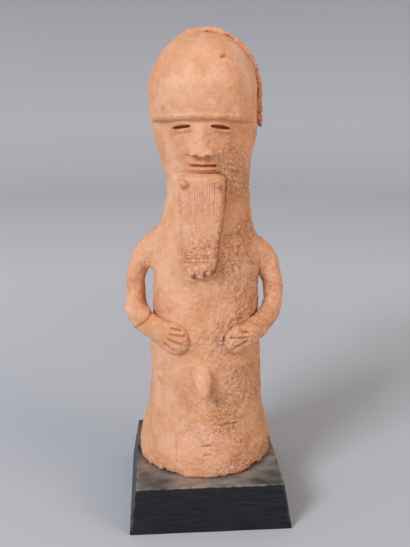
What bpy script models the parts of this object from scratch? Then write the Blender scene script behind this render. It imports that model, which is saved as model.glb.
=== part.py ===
"""A hand-built terracotta figure of a bearded man, standing on a black wooden plinth.

Metres, +Z up. The origin is the middle of the plinth's underside, and the figure looks along -Y.
The figure is one fired piece: a round column of a body with the head, arms, hands, beard and
hair roll luted on, and eyes, mouth, nostrils and fingers cut in. It rests loose on the plinth.
"""

import math

import bmesh
import bpy
import numpy as np
from mathutils import Matrix

# Driving sizes, in metres and degrees
FIGURE_HEIGHT = 0.600
FIGURE_SET_BACK = 0.009
FIGURE_TURN = -4.0
SEAT_GAP = 0.0003
PLINTH_HEIGHT = 0.064
PLINTH_LEDGE = 0.0045
PLINTH_FLARE = 0.010
PLINTH_EDGE = 0.0012

# The figure's form is in shares of its height. One share is a millimetre on a figure 600 mm tall.
SHARE = FIGURE_HEIGHT / 600

# The turn of the head to the viewer's left, which grows from the chest to the jaw
HEAD_TURN = -4.0
TURN_FROM, TURN_TO = 300, 430

# Body and head, foot to crown: height, half width, half depth, shift to the side, shift back
FOOT_HALF_WIDTH = 98
BODY_PROFILE = (
    (0, 97, 88.5, 0, 0),
    (5, FOOT_HALF_WIDTH, 90, 0, 0),
    (25, 96, 89, 0, 0),
    (50, 90, 86, 0, 0),
    (80, 83, 81.5, 0, 0),
    (115, 79, 78.5, 0, 0),
    (160, 78, 77, 0, 0),
    (205, 76, 75.5, 0, 0),
    (245, 74.8, 73.5, 0, 0),
    (285, 73, 71, 0, 0),
    (318, 69, 67, 0.5, 0),
    (345, 63.5, 62, 1.5, 0),
    (372, 58.5, 58, 2.5, 0),
    (400, 56, 55.5, 3, 0),
    (430, 60, 60, 2, 0),
    (460, 66, 67.5, 0, 0),
    (480, 70, 73, -1, 0),
    (497, 72, 77.5, -2, 0),
    (515, 72.5, 79.5, -3, 0),
    (535, 71, 78.5, -3, 0),
    (552, 66, 73.5, -2.5, 0),
    (568, 57, 64, -2, 0),
    (582, 45, 51, -1.5, 0),
    (590, 31, 35, -1, 0),
    (594.5, 17, 19, -0.5, 0),
    (596.5, 0, 0, 0, 0),
)

# The rings and columns of the body's surface: closer together where the face is
RING_HEIGHTS = (
    0, 2, 5, 16, 32, 50, 72, 98, 125, 155, 185, 215, 245, 272, 296, 318, 338, 358, 380, 400, 415,
    430, 445, 458, 470, 480, 487, 489.5, 492, 497, 507, 518, 530, 541, 551, 560, 568, 575, 582, 587,
    591, 594, 595.8,
)
FRONT_COLUMN_TURN, BACK_COLUMN_TURN, FRONT_COLUMNS_END = 6, 12, 60

# The dome of the head ends in a brow that overhangs the face
BROW_HEIGHT = 492
BROW_STEP = 4.5
BROW_OVERHANG = 7
BROW_SIDE_DROP = 9
BROW_REACH = 80
FACE_FADES_OUT = 425

# The face is laid out by the schoolbook canon from the brow to a chin under the beard
CHIN_HEIGHT = 402
FACE_PART = (BROW_HEIGHT - CHIN_HEIGHT) / 2
NOSE_BASE = BROW_HEIGHT - FACE_PART
MOUTH_HEIGHT = NOSE_BASE - FACE_PART / 3
EYE_HEIGHT = BROW_HEIGHT - FACE_PART / 4
EYE_WIDTH = 144 / 5
EYE_OFFSET = EYE_WIDTH
EYE_SLIT_HALF_HEIGHT = 2.2
SLIT_DEPTH = 12
EYE_TILT = 6
MOUTH_HALF_WIDTH = 0.72 * EYE_WIDTH
MOUTH_SLIT_HALF_WIDTH = 0.85 * MOUTH_HALF_WIDTH
MOUTH_SLIT_HALF_HEIGHT = 1.6
NOSE_HALF_WIDTH = 0.62 * EYE_WIDTH
LIP_RADIUS = 3.0
NOSTRIL_RADIUS = 3.0

# Beard, chin to end: height, half width, how far its face stands in front of the axis, shift
BEARD_PROFILE = (
    (418, 27.5, 70, 0),
    (412, 28.5, 74, 0),
    (390, 28, 75.5, -1),
    (360, 26, 77, -3),
    (330, 24, 79.5, -7.5),
    (325.5, 23.8, 80, -8),
    (323.5, 23.6, 78.6, -8.2),
    (321.5, 23.4, 80.2, -8.4),
    (319.5, 23.2, 78.8, -8.6),
    (317, 23, 80.6, -8.7),
    (304, 22, 82, -8.7),
    (298, 19, 81.5, -8),
)
BEARD_COMB_PITCH = 3.4
BEARD_COMB_DEPTH = 1.1
BEARD_CROWN = 4
BEARD_BACK = 30
# Locks at the beard's end: sideways, height, half width
BEARD_LOCKS = ((-24, 306, 7.5), (-12.5, 300, 8), (-0.5, 300, 8), (10, 306, 7))
LOCK_HALF_LENGTH = 12
# Knots at the beard's upper corners: sideways, height
BEARD_KNOTS = ((-21, 410), (21, 414))
KNOT_RADIUS = 6.5

# Arms, shoulder to fingers: side, front, height, half height, half thickness
RIGHT_ARM = (
    (-40, 0, 324, 20, 19),
    (-67, 0, 318, 18, 18.5),
    (-86, -1, 299.5, 15, 15.5),
    (-96, -3, 272, 14, 14),
    (-97.5, -7, 246, 14, 14),
    (-95, -18, 225, 16, 15),
    (-83, -40, 214, 18, 14),
    (-65, -57, 208, 19, 12.5),
    (-51, -62.5, 203.5, 19, 9),
    (-38, -70, 201.5, 16, 5.5),
)
LEFT_ARM = (
    (38, 0, 315, 20, 20),
    (66, 0, 308.5, 17, 18.5),
    (84, -1, 291.5, 14, 17.5),
    (93, -3, 268, 12.5, 13.4),
    (95, -7, 246, 12.8, 12.8),
    (91, -18, 226, 14, 14),
    (79, -41, 215, 16, 13),
    (63, -58, 207, 17, 12),
    (50, -63, 202, 17.5, 9),
    (40, -69, 200.5, 15.5, 5.5),
)
ARM_SECTIONS_PER_KNOT = 2
ARM_SIDES = 14
# Fingers of each hand: where the knuckle is, where the tip is, height
RIGHT_FINGERS = ((-48, -31, 215), (-49, -27, 206.5), (-50, -28, 198), (-52, -34, 189.5))
LEFT_FINGERS = ((48, 35, 213.5), (50, 31, 205.5), (51, 32.5, 197), (53, 39, 189))
FINGER_RADIUS = 5
FINGER_RISE = 6.5
FINGER_KNUCKLE_RISE = 1.3
FINGER_TAPER = (0.9, 1, 1, 0.9, 0.55)

# The small boss low on the belly: side, front, height, radius
BOSS = (
    (-4, -60, 156, 12),
    (-4, -76, 151, 13.5),
    (-3.5, -88, 144, 13),
    (-2.5, -95, 136.5, 10),
    (-2, -99.5, 130.5, 7),
    (-2, -101.5, 127.5, 4),
)
BOSS_SIDES = 14

# Hair roll over the head from ear to ear, and the ears under its ends
HAIR_HALF_WIDTH = 9
HAIR_HALF_THICKNESS = 5
HAIR_REACH = 98
HAIR_HALF_SPAN = 72.5
HAIR_MIDDLE_HEIGHT = 500
HAIR_RISE = 98.5
HAIR_SQUARENESS = 0.85
HAIR_BACK = 13
HAIR_SIDE_BACK = 8
HAIR_SECTIONS = 30
HAIR_SIDES = 10
HAIR_NOTCH_COUNT = 9
HAIR_NOTCH_DEPTH = 1.6
EAR_TURNS = (("right_ear", -121), ("left_ear", 105))
EAR_HEIGHT = 511
EAR_HALF_HEIGHT = 25
EAR_HALF_WIDTH = 12
EAR_RADIUS = 6.5
EAR_RISE = 4
EAR_OPENING = 70

# Points closer than this share are one point
WELD = 0.01
# Edges that bend more than this stay sharp
SHARP_EDGE = 40

TERRACOTTA = (0.66, 0.33, 0.19, 1)
BLACK_WOOD = (0.018, 0.020, 0.023, 1)


def clear_scene():
    for item in list(bpy.data.objects):
        bpy.data.objects.remove(item)


def new_collection(name):
    made = bpy.data.collections.new(name)
    bpy.context.scene.collection.children.link(made)
    return made


def new_material(name, colour, roughness):
    made = bpy.data.materials.new(name)
    made.use_nodes = True
    shader = made.node_tree.nodes["Principled BSDF"]
    shader.inputs["Base Color"].default_value = colour
    shader.inputs["Roughness"].default_value = roughness
    shader.inputs["Metallic"].default_value = 0
    return made


def curve_through(knots, places):
    """Points of a Catmull-Rom curve through the knots, at places counted in knots from 0."""
    knots = np.asarray(knots, float)
    run = np.vstack([2 * knots[0] - knots[1], knots, 2 * knots[-1] - knots[-2]])
    first = np.clip(np.floor(places).astype(int), 0, len(knots) - 2)
    t = (places - first)[:, None]
    a, b, c, d = (run[first + step] for step in range(4))
    return 0.5 * (2 * b + (c - a) * t + (2 * a - 5 * b + 4 * c - d) * t**2 + (3 * b - a - 3 * c + d) * t**3)


def ease(value, low, high):
    """0 at low, 1 at high, and smooth between them."""
    t = np.clip((value - low) / (high - low), 0, 1)
    return t * t * (3 - 2 * t)


def turn_head(points):
    """The points turned about the body's axis by as much as the head is turned at their height."""
    angle = np.radians(HEAD_TURN) * ease(points[..., 2], TURN_FROM, TURN_TO)
    x, y = points[..., 0], points[..., 1]
    turned = points.copy()
    turned[..., 0] = x * np.cos(angle) - y * np.sin(angle)
    turned[..., 1] = x * np.sin(angle) + y * np.cos(angle)
    return turned


PROFILE_RUN = curve_through(BODY_PROFILE, np.linspace(0, len(BODY_PROFILE) - 1, 1200))


def profile_at(height):
    """Half width, half depth and the two shifts of the body at a height."""
    return [np.interp(height, PROFILE_RUN[:, 0], PROFILE_RUN[:, column]) for column in range(1, 5)]


def skin(turn, height, out=0.0):
    """Points on the body's surface at turns from the front, in degrees, raised by out."""
    turn = np.radians(np.asarray(turn, float))
    height = np.asarray(height, float)
    half_width, half_depth, aside, back = profile_at(height)
    front = ease(BROW_REACH - np.abs(np.degrees(turn)), 0, BROW_REACH / 3)
    below_step = ease(height, BROW_HEIGHT, BROW_HEIGHT - BROW_STEP)
    above_chin = ease(height, FACE_FADES_OUT, BROW_HEIGHT)
    rise = out - BROW_OVERHANG * front * below_step * above_chin
    x = aside + (half_width + rise) * np.sin(turn)
    y = back - (half_depth + rise) * np.cos(turn)
    near_brow = np.exp(-(((height - BROW_HEIGHT) / 45) ** 2))
    z = height - BROW_SIDE_DROP * (1 - np.cos(np.clip(turn, -np.pi / 2, np.pi / 2))) * near_brow
    return turn_head(np.stack(np.broadcast_arrays(x, y, z), -1))


def mesh_object(name, points, faces, collection, parent):
    """A mesh object from points in shares of the figure's height."""
    mesh = bpy.data.meshes.new(name)
    mesh.from_pydata((np.asarray(points) * SHARE).tolist(), [], faces)
    work = bmesh.new()
    work.from_mesh(mesh)
    bmesh.ops.recalc_face_normals(work, faces=work.faces)
    work.to_mesh(mesh)
    work.free()
    made = bpy.data.objects.new(name, mesh)
    made.parent = parent
    collection.objects.link(made)
    return made


def loft(name, rings, collection, parent):
    """A closed solid through rings of equally many points, each end closed by a fan to its middle."""
    count, sides = len(rings), len(rings[0])
    points = [*np.concatenate(rings), rings[0].mean(0), rings[-1].mean(0)]
    faces = []
    for ring in range(count - 1):
        for side in range(sides):
            following = (side + 1) % sides
            low, high = ring * sides, (ring + 1) * sides
            faces.append((low + side, low + following, high + following, high + side))
    foot, top = count * sides, count * sides + 1
    last = (count - 1) * sides
    for side in range(sides):
        following = (side + 1) % sides
        faces.append((foot, following, side))
        faces.append((top, last + side, last + following))
    return mesh_object(name, points, faces, collection, parent)


def sweep(name, path, half_sizes, outward, sides, collection, parent):
    """A closed tube of oval section along a path. The second half size lies along outward."""
    along = np.gradient(path, axis=0)
    along /= np.linalg.norm(along, axis=1)[:, None]
    across = np.cross(along, outward)
    across /= np.linalg.norm(across, axis=1)[:, None]
    raised = np.cross(across, along)
    angles = np.linspace(0, 2 * np.pi, sides, endpoint=False)
    rings = [
        centre + np.outer(np.cos(angles), side * wide) + np.outer(np.sin(angles), up * thick)
        for centre, side, up, (wide, thick) in zip(path, across, raised, half_sizes)
    ]
    return loft(name, rings, collection, parent)


def ball(name, centre, radii, collection, parent, segments=14, rings=7):
    work = bmesh.new()
    bmesh.ops.create_uvsphere(work, u_segments=segments, v_segments=rings, radius=1)
    mesh = bpy.data.meshes.new(name)
    bmesh.ops.scale(work, vec=np.asarray(radii) * SHARE, verts=work.verts)
    work.to_mesh(mesh)
    work.free()
    made = bpy.data.objects.new(name, mesh)
    made.location = np.asarray(centre) * SHARE
    made.parent = parent
    collection.objects.link(made)
    return made


def mesh_from_curve(name, line, collection, parent):
    """A mesh object with the curve's shape, its caps welded and the curve removed."""
    guide = bpy.data.objects.new(name + "_guide", line)
    collection.objects.link(guide)
    bpy.context.view_layer.update()
    mesh = bpy.data.meshes.new_from_object(guide.evaluated_get(bpy.context.evaluated_depsgraph_get()))
    bpy.data.objects.remove(guide)
    work = bmesh.new()
    work.from_mesh(mesh)
    bmesh.ops.remove_doubles(work, verts=work.verts, dist=WELD * SHARE)
    bmesh.ops.recalc_face_normals(work, faces=work.faces)
    work.to_mesh(mesh)
    work.free()
    made = bpy.data.objects.new(name, mesh)
    made.parent = parent
    collection.objects.link(made)
    return made


def tube(name, path, radii, collection, parent):
    """A round tube of changing radius along a path."""
    line = bpy.data.curves.new(name, "CURVE")
    line.dimensions = "3D"
    line.bevel_depth = SHARE
    line.bevel_resolution = 2
    line.use_fill_caps = True
    spline = line.splines.new("POLY")
    spline.points.add(len(path) - 1)
    for point, place, radius in zip(spline.points, path, radii):
        point.co = (*(np.asarray(place) * SHARE), 1)
        point.radius = radius
    return mesh_from_curve(name, line, collection, parent)


def build_body(collection, parent):
    """Column, neck and head: a loft of ovals with the brow's overhang."""
    front = np.arange(-FRONT_COLUMNS_END, FRONT_COLUMNS_END, FRONT_COLUMN_TURN)
    back = np.arange(FRONT_COLUMNS_END, 360 - FRONT_COLUMNS_END, BACK_COLUMN_TURN)
    turns = np.concatenate([front, back])
    turns = np.where(turns > 180, turns - 360, turns)
    rings = [skin(turns, height) for height in RING_HEIGHTS]
    return loft("terracotta_figure", rings, collection, parent)


def arm(name, knots, collection, parent):
    """An arm from inside the body to the knuckles, flattening into a hand laid on the belly."""
    places = np.linspace(0, len(knots) - 1, (len(knots) - 1) * ARM_SECTIONS_PER_KNOT + 1)
    run = curve_through(knots, places)
    outward = run[:, :3] * (1, 1, 0)
    outward /= np.linalg.norm(outward, axis=1)[:, None]
    return sweep(name, run[:, :3], run[:, 3:], outward, ARM_SIDES, collection, parent)


def on_belly(side, height, rise):
    """The point of the belly at that distance to the side, raised off it."""
    half_width, half_depth, _, _ = profile_at(height)
    turn = np.degrees(np.arcsin(side / (half_width + rise)))
    return skin(turn, height, rise)


def finger(name, knuckle, tip, height, collection, parent):
    """A finger laid on the belly, sinking into it towards its tip."""
    path = [
        on_belly(knuckle + (tip - knuckle) * place, height, FINGER_RISE * (FINGER_KNUCKLE_RISE - place))
        for place in np.linspace(0, 1, len(FINGER_TAPER))
    ]
    radii = FINGER_RADIUS * np.array(FINGER_TAPER)
    return tube(name, path, radii, collection, parent)


def beard(collection, parent):
    """A slab that hangs from the chin to the chest, its face combed with upright grooves."""
    rings = []
    grooves = 2 * round(2 * BEARD_PROFILE[1][1] / BEARD_COMB_PITCH / 2)
    across = np.linspace(-1, 1, 2 * grooves + 1)
    comb = BEARD_COMB_DEPTH * (np.arange(len(across)) % 2)
    comb[[0, -1]] = 0
    for height, half_width, front, shift in BEARD_PROFILE:
        combed = comb * (height > BEARD_PROFILE[5][0])
        x = shift + half_width * across
        y = combed + BEARD_CROWN * across**2 - front
        edge = shift + half_width * np.array([1.06, 1.02, -1.02, -1.06])
        inside = -np.array([front - 9, BEARD_BACK, BEARD_BACK, front - 9])
        plan = np.column_stack([np.append(x, edge), np.append(y, inside)])
        rings.append(turn_head(np.column_stack([plan, np.full(len(plan), float(height))])))
    return loft("beard", rings, collection, parent)


def hair_roll(collection, parent):
    """A flattened roll of clay over the head from ear to ear, notched across."""
    angle = np.radians(np.linspace(-HAIR_REACH, HAIR_REACH, HAIR_SECTIONS))
    outward = np.column_stack([np.sin(angle), 0 * angle, np.cos(angle)])
    rise = np.sign(np.cos(angle)) * np.abs(np.cos(angle)) ** HAIR_SQUARENESS
    path = np.column_stack([
        HAIR_HALF_SPAN * np.sin(angle),
        HAIR_BACK + HAIR_SIDE_BACK * np.sin(angle) ** 2,
        HAIR_MIDDLE_HEIGHT + HAIR_RISE * rise,
    ])
    notch = HAIR_NOTCH_DEPTH * np.cos(angle * HAIR_NOTCH_COUNT) ** 2
    thick = HAIR_HALF_THICKNESS - notch * (np.abs(np.degrees(angle)) > 20)
    half_sizes = np.column_stack([np.full(len(angle), HAIR_HALF_WIDTH), thick])
    return sweep("hair_roll", turn_head(path), half_sizes, outward, HAIR_SIDES, collection, parent)


def ear(name, middle_turn, collection, parent):
    """A C of rolled clay, open to the front."""
    angle = np.radians(np.linspace(EAR_OPENING, 360 - EAR_OPENING, 13))
    half_width = profile_at(EAR_HEIGHT)[0]
    turns = abs(middle_turn) - np.degrees(EAR_HALF_WIDTH * np.cos(angle) / half_width)
    heights = EAR_HEIGHT + EAR_HALF_HEIGHT * np.sin(angle)
    path = skin(math.copysign(1, middle_turn) * turns, heights, EAR_RISE)
    return tube(name, path, np.full(len(path), EAR_RADIUS), collection, parent)


def nose(collection, parent):
    """Bridge, tip and the two wings."""
    front = -skin(0, NOSE_BASE)[1]
    bridge = [(0, -front - rise, NOSE_BASE + up) for rise, up in ((-4, 36), (-1, 26), (3, 16), (6, 9))]
    tip = turn_head(np.array([0, -front - 6.5, NOSE_BASE + 8]))
    parts = [
        tube("nose_bridge", turn_head(np.array(bridge)), (7, 8.5, 9.5, 9.5), collection, parent),
        ball("nose_tip", tip, (10.5, 9.5, 8.5), collection, parent),
    ]
    for side in (-1, 1):
        wing = turn_head(np.array([side * (NOSE_HALF_WIDTH - 7.5), -front - 2.5, NOSE_BASE + 6]))
        parts.append(ball(f"nose_wing_{side}", wing, (7.5, 8.5, 6.5), collection, parent, 12, 7))
    return parts


def lips(collection, parent):
    """The muzzle under the nose, and a roll of clay above and below the mouth."""
    front = -skin(0, MOUTH_HEIGHT)[1]
    middle = turn_head(np.array([0, 17 - front, MOUTH_HEIGHT + 1]))
    parts = [ball("muzzle", middle, (38, 22.5, 24), collection, parent, 20, 12)]
    across = np.linspace(-1, 1, 9)
    for name, lift in (("upper_lip", 1), ("lower_lip", -1)):
        path = np.column_stack([
            MOUTH_HALF_WIDTH * across,
            6 * across**2 - front - 5,
            MOUTH_HEIGHT + lift * LIP_RADIUS * (1.25 - 0.5 * across**2),
        ])
        radii = LIP_RADIUS * (1 - 0.45 * across**2)
        parts.append(tube(name, turn_head(path), radii, collection, parent))
    return parts


def slit(name, turn, height, half_width, half_height, tilt, collection, parent):
    """A cutter for a lens-shaped slit: an outline of two arcs, pressed square into the surface."""
    outline = bpy.data.curves.new(name, "CURVE")
    outline.dimensions = "2D"
    outline.fill_mode = "BOTH"
    outline.extrude = SLIT_DEPTH * SHARE
    spline = outline.splines.new("POLY")
    across = np.linspace(-1, 1, 9)
    upper = np.column_stack([half_width * across, half_height * (1 - across**2)])
    corners = np.vstack([upper, upper[-2:0:-1] * (1, -1)]) * SHARE
    spline.points.add(len(corners) - 1)
    for point, (x, y) in zip(spline.points, corners):
        point.co = (x, y, 0, 1)
    spline.use_cyclic_u = True
    made = mesh_from_curve(name, outline, collection, parent)
    made.location = skin(turn, height) * SHARE
    made.rotation_euler = (math.pi / 2, math.radians(tilt), math.radians(turn + HEAD_TURN))
    return made


def face_cutters(collection, parent):
    """Eyes, mouth and nostrils."""
    eye_turn = math.degrees(math.asin(EYE_OFFSET / profile_at(EYE_HEIGHT)[0]))
    eye = (EYE_HEIGHT, EYE_WIDTH / 2, EYE_SLIT_HALF_HEIGHT)
    mouth = (MOUTH_HEIGHT, MOUTH_SLIT_HALF_WIDTH, MOUTH_SLIT_HALF_HEIGHT)
    cutters = [
        slit("eye_slit_right", -eye_turn, *eye, -EYE_TILT, collection, parent),
        slit("eye_slit_left", eye_turn, *eye, EYE_TILT, collection, parent),
        slit("mouth_slit", 0, *mouth, 0, collection, parent),
    ]
    front = -skin(0, NOSE_BASE)[1]
    for side in (-1, 1):
        aside = side * (NOSE_HALF_WIDTH - 9)
        path = [(aside, -front - depth, NOSE_BASE + up) for depth, up in ((15, -3), (6, 4), (0, 6))]
        radii = NOSTRIL_RADIUS * np.array([1.3, 1, 0.8])
        cutters.append(tube(f"nostril_{side}", turn_head(np.array(path, float)), radii, collection, parent))
    return cutters


def join_clay(figure, additions, cutters):
    """Lutes the pieces on and cuts the openings, as live Booleans on the figure."""
    for piece, operation in [(p, "UNION") for p in additions] + [(c, "DIFFERENCE") for c in cutters]:
        step = figure.modifiers.new(piece.name, "BOOLEAN")
        step.object = piece
        step.operation = operation
        step.solver = "EXACT"
        piece.hide_render = True
        piece.display_type = "WIRE"


def build_figure(collection, workshop):
    """The terracotta: body, limbs, beard and hair, fired as one piece."""
    seat = bpy.data.objects.new("figure_seat", None)
    seat.location = (0, FIGURE_SET_BACK, PLINTH_HEIGHT + SEAT_GAP)
    seat.rotation_euler = (0, 0, math.radians(FIGURE_TURN))
    collection.objects.link(seat)
    figure = build_body(collection, seat)
    additions = [
        arm("right_arm", RIGHT_ARM, workshop, seat),
        arm("left_arm", LEFT_ARM, workshop, seat),
        beard(workshop, seat),
        hair_roll(workshop, seat),
        *(ear(name, turn, workshop, seat) for name, turn in EAR_TURNS),
        *nose(workshop, seat),
        *lips(workshop, seat),
    ]
    for hand, fingers in (("right", RIGHT_FINGERS), ("left", LEFT_FINGERS)):
        for number, (knuckle, tip, height) in enumerate(fingers):
            additions.append(finger(f"{hand}_finger_{number}", knuckle, tip, height, workshop, seat))
    for number, (aside, height, half_width) in enumerate(BEARD_LOCKS):
        radii = (half_width, 8, LOCK_HALF_LENGTH)
        additions.append(ball(f"beard_lock_{number}", (aside, -76, height), radii, workshop, seat))
    for number, (aside, height) in enumerate(BEARD_KNOTS):
        middle = turn_head(np.array([aside, -73.0, height]))
        additions.append(ball(f"beard_knot_{number}", middle, [KNOT_RADIUS] * 3, workshop, seat, 12, 7))
    boss = np.array(BOSS, float)
    upward = np.tile((0.0, 0.0, 1.0), (len(boss), 1))
    additions.append(sweep("boss", boss[:, :3], boss[:, [3, 3]], upward, BOSS_SIDES, workshop, seat))
    join_clay(figure, additions, face_cutters(workshop, seat))
    for piece in [figure, *workshop.objects]:
        piece.data.shade_smooth()
        piece.data.set_sharp_from_angle(angle=math.radians(SHARP_EDGE))
    return figure


def build_plinth(collection):
    """A block of wood whose four sides lean in towards the top, its edges just broken."""
    top_half = FOOT_HALF_WIDTH * SHARE + PLINTH_LEDGE
    bottom_half = top_half + PLINTH_FLARE
    work = bmesh.new()
    bmesh.ops.create_cone(
        work,
        cap_ends=True,
        segments=4,
        radius1=bottom_half * math.sqrt(2),
        radius2=top_half * math.sqrt(2),
        depth=PLINTH_HEIGHT,
    )
    bmesh.ops.rotate(work, verts=work.verts, matrix=Matrix.Rotation(math.pi / 4, 3, "Z"))
    mesh = bpy.data.meshes.new("plinth")
    work.to_mesh(mesh)
    work.free()
    made = bpy.data.objects.new("plinth", mesh)
    made.location = (0, 0, PLINTH_HEIGHT / 2)
    edges = made.modifiers.new("broken_edges", "BEVEL")
    edges.width = PLINTH_EDGE
    edges.segments = 2
    collection.objects.link(made)
    return made


def main():
    clear_scene()
    parts = new_collection("terracotta_figure_on_plinth")
    workshop = new_collection("clay_additions_and_cutters")
    figure = build_figure(parts, workshop)
    figure.data.materials.append(new_material("terracotta", TERRACOTTA, 0.9))
    for piece in workshop.objects:
        piece.data.materials.append(figure.data.materials[0])
    plinth = build_plinth(parts)
    plinth.data.materials.append(new_material("black_painted_wood", BLACK_WOOD, 0.55))


main()
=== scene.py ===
"""The looks of the terracotta figure on its black plinth.

Sizes are millimetres in the figure's own frame: its axis at 0, its front towards -Y, heights from its foot.
place() puts such points into the row frame, in metres.
"""

import math
from itertools import product

import bpy
import numpy as np
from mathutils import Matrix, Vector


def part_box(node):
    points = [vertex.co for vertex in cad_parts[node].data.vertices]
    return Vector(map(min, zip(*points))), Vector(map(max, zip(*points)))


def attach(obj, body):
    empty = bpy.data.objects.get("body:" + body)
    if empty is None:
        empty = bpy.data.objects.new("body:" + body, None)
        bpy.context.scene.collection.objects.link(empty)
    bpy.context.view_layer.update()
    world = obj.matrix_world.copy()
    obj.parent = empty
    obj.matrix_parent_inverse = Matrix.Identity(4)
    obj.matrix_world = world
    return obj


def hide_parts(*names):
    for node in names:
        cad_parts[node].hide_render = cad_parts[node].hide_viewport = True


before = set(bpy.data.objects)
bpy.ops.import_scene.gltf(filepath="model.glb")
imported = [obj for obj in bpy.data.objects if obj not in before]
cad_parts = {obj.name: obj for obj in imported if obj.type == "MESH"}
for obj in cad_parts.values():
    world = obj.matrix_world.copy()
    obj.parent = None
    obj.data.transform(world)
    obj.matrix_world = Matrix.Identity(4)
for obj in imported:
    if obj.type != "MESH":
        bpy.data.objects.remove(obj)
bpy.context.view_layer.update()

# Where the figure stands, from the frame, and how it is turned on its plinth
MM = 0.001
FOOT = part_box("terracotta_figure")[0].z / MM
SET_BACK = 9
FIGURE_TURN = -4
HEAD_TURN = -4
TURN_FROM, TURN_TO = 300, 430

# Body and head, foot to crown: height, half width, half depth, shift to the side
BODY_PROFILE = (
    (0, 97, 88.5, 0),
    (5, 98, 90, 0),
    (25, 96, 89, 0),
    (50, 90, 86, 0),
    (80, 83, 81.5, 0),
    (115, 79, 78.5, 0),
    (160, 78, 77, 0),
    (205, 76, 75.5, 0),
    (245, 74.8, 73.5, 0),
    (285, 73, 71, 0),
    (318, 69, 67, 0.5),
    (345, 63.5, 62, 1.5),
    (372, 58.5, 58, 2.5),
    (400, 56, 55.5, 3),
    (430, 60, 60, 2),
    (460, 66, 67.5, 0),
    (480, 70, 73, -1),
    (497, 72, 77.5, -2),
    (515, 72.5, 79.5, -3),
    (535, 71, 78.5, -3),
    (552, 66, 73.5, -2.5),
    (568, 57, 64, -2),
    (582, 45, 51, -1.5),
    (590, 31, 35, -1),
    (594.5, 17, 19, -0.5),
    (596.5, 0, 0, 0),
)
CROWN_END = 596.3
FOOT_RIGHT_DRAWN_IN = 3

# Grid spacing on the clay: degrees round the body, and millimetres up it
FRONT_SPACING, BACK_SPACING = 0.95, 3.2
ROW_SPACING, FACE_ROW_SPACING = 1.75, 0.88
FACE_BAND = (418, 500)

# The dome ends in a brow over the face
BROW_HEIGHT = 492
BROW_STEP = 4.5
BROW_OVERHANG = 7
BROW_SIDE_DROP = 9
BROW_REACH = 80
FACE_FADES_OUT = 425

# The face keeps the schoolbook canon between the brow and a chin under the beard
CHIN_HEIGHT = 402
FACE_PART = (BROW_HEIGHT - CHIN_HEIGHT) / 2
NOSE_BASE = BROW_HEIGHT - FACE_PART
MOUTH_HEIGHT = NOSE_BASE - FACE_PART / 3
EYE_HEIGHT = BROW_HEIGHT - FACE_PART / 4
EYE_WIDTH = 144 / 5
EYE_OFFSET = EYE_WIDTH
FACE_RADIUS = 72
NOSE_HALF_WIDTH = 0.62 * EYE_WIDTH
NOSE_RISE = 17
MOUTH_HALF_WIDTH = 0.72 * EYE_WIDTH

# Arms, shoulder to fingers: side, front, height, half height, half thickness
RIGHT_ARM = (
    (-40, 0, 324, 20, 19),
    (-67, 0, 318, 18, 18.5),
    (-86, -1, 299.5, 15, 15.5),
    (-96, -3, 272, 14, 14),
    (-97.5, -7, 246, 14, 14),
    (-95, -18, 225, 16, 15),
    (-83, -40, 214, 18, 14),
    (-65, -57, 208, 19, 12.5),
    (-51, -63.5, 202, 20.5, 10.5),
    (-38, -71, 200, 20.5, 9),
    (-28, -75, 201.5, 14.5, 6.5),
    (-24.5, -76.5, 202, 8, 4),
)
LEFT_ARM = (
    (38, 0, 315, 20, 20),
    (66, 0, 308.5, 17, 18.5),
    (84, -1, 291.5, 14, 17.5),
    (93, -3, 268, 12.5, 13.4),
    (95, -7, 246, 12.8, 12.8),
    (91, -18, 226, 14, 14),
    (79, -41, 215, 16, 13),
    (63, -58, 207, 17, 12),
    (50, -63.5, 200.5, 19, 10.5),
    (40, -69.5, 199, 18.5, 9),
    (31, -73.5, 200, 13, 6.5),
    (27.5, -75, 200.5, 7, 4),
)
ARM_RINGS, ARM_SIDES = 250, 76

# How far the hollow curve reaches where clay meets clay, and how that grows up the shoulders
FILLET, SHOULDER_FILLET = 7, 26
SHOULDER_HEIGHTS = (262, 290)
SHOULDER_FRONTS = (2, 20)
BEARD_FILLET, BEARD_RIGHT_FILLET = 5, 20
BOSS_FILLET, BOSS_TOP_FILLET = 3, 9
# Heights between which the body meets the arms, the boss and the beard
ARMS_MEET, BOSS_MEETS, BEARD_MEETS = (140, 375), (95, 215), (270, 440)

# Cuts between the fingers on the back of each hand: side and height of one end, then of the other
RIGHT_HAND_CUTS = (
    (-47, 217.5, -33, 216),
    (-48, 208.5, -27, 208),
    (-50, 201, -31, 196.5),
    (-55, 193, -42, 187),
)
LEFT_HAND_CUTS = ((50, 211, 57, 211.5), (34, 205, 57, 202.7), (40, 189, 57, 197.5))
FINGER_CUT_WIDTH, FINGER_CUT_DEPTH = 1.2, 1.6
FINGER_VALLEY_WIDTH, FINGER_VALLEY_DEPTH = 3.6, 1.4
# Lumps of clay on the arms: side, front, height, radius, rise
ARM_LUMPS = (
    (-109, -23, 229, 6, 4),
    (-97, -46, 209, 4, 3),
    (-90, -50, 224, 3, 1.2),
    (-86, -54, 220, 2.6, 1.0),
    (81, -57, 207, 5, 4),
    (101, -20, 216, 7, 1.5),
)
# Where the right elbow's clay laps over the forearm: side and height of one end, then of the other
ELBOW_LAP = (-74, 230, -96, 208)
LAP_WIDTH, LAP_DEPTH = 1.1, 1.4
LIP_WIDTH, LIP_RISE = 2.2, 1.6
LAP_TO_LIP = (1.8, 0, -1.8)

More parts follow.
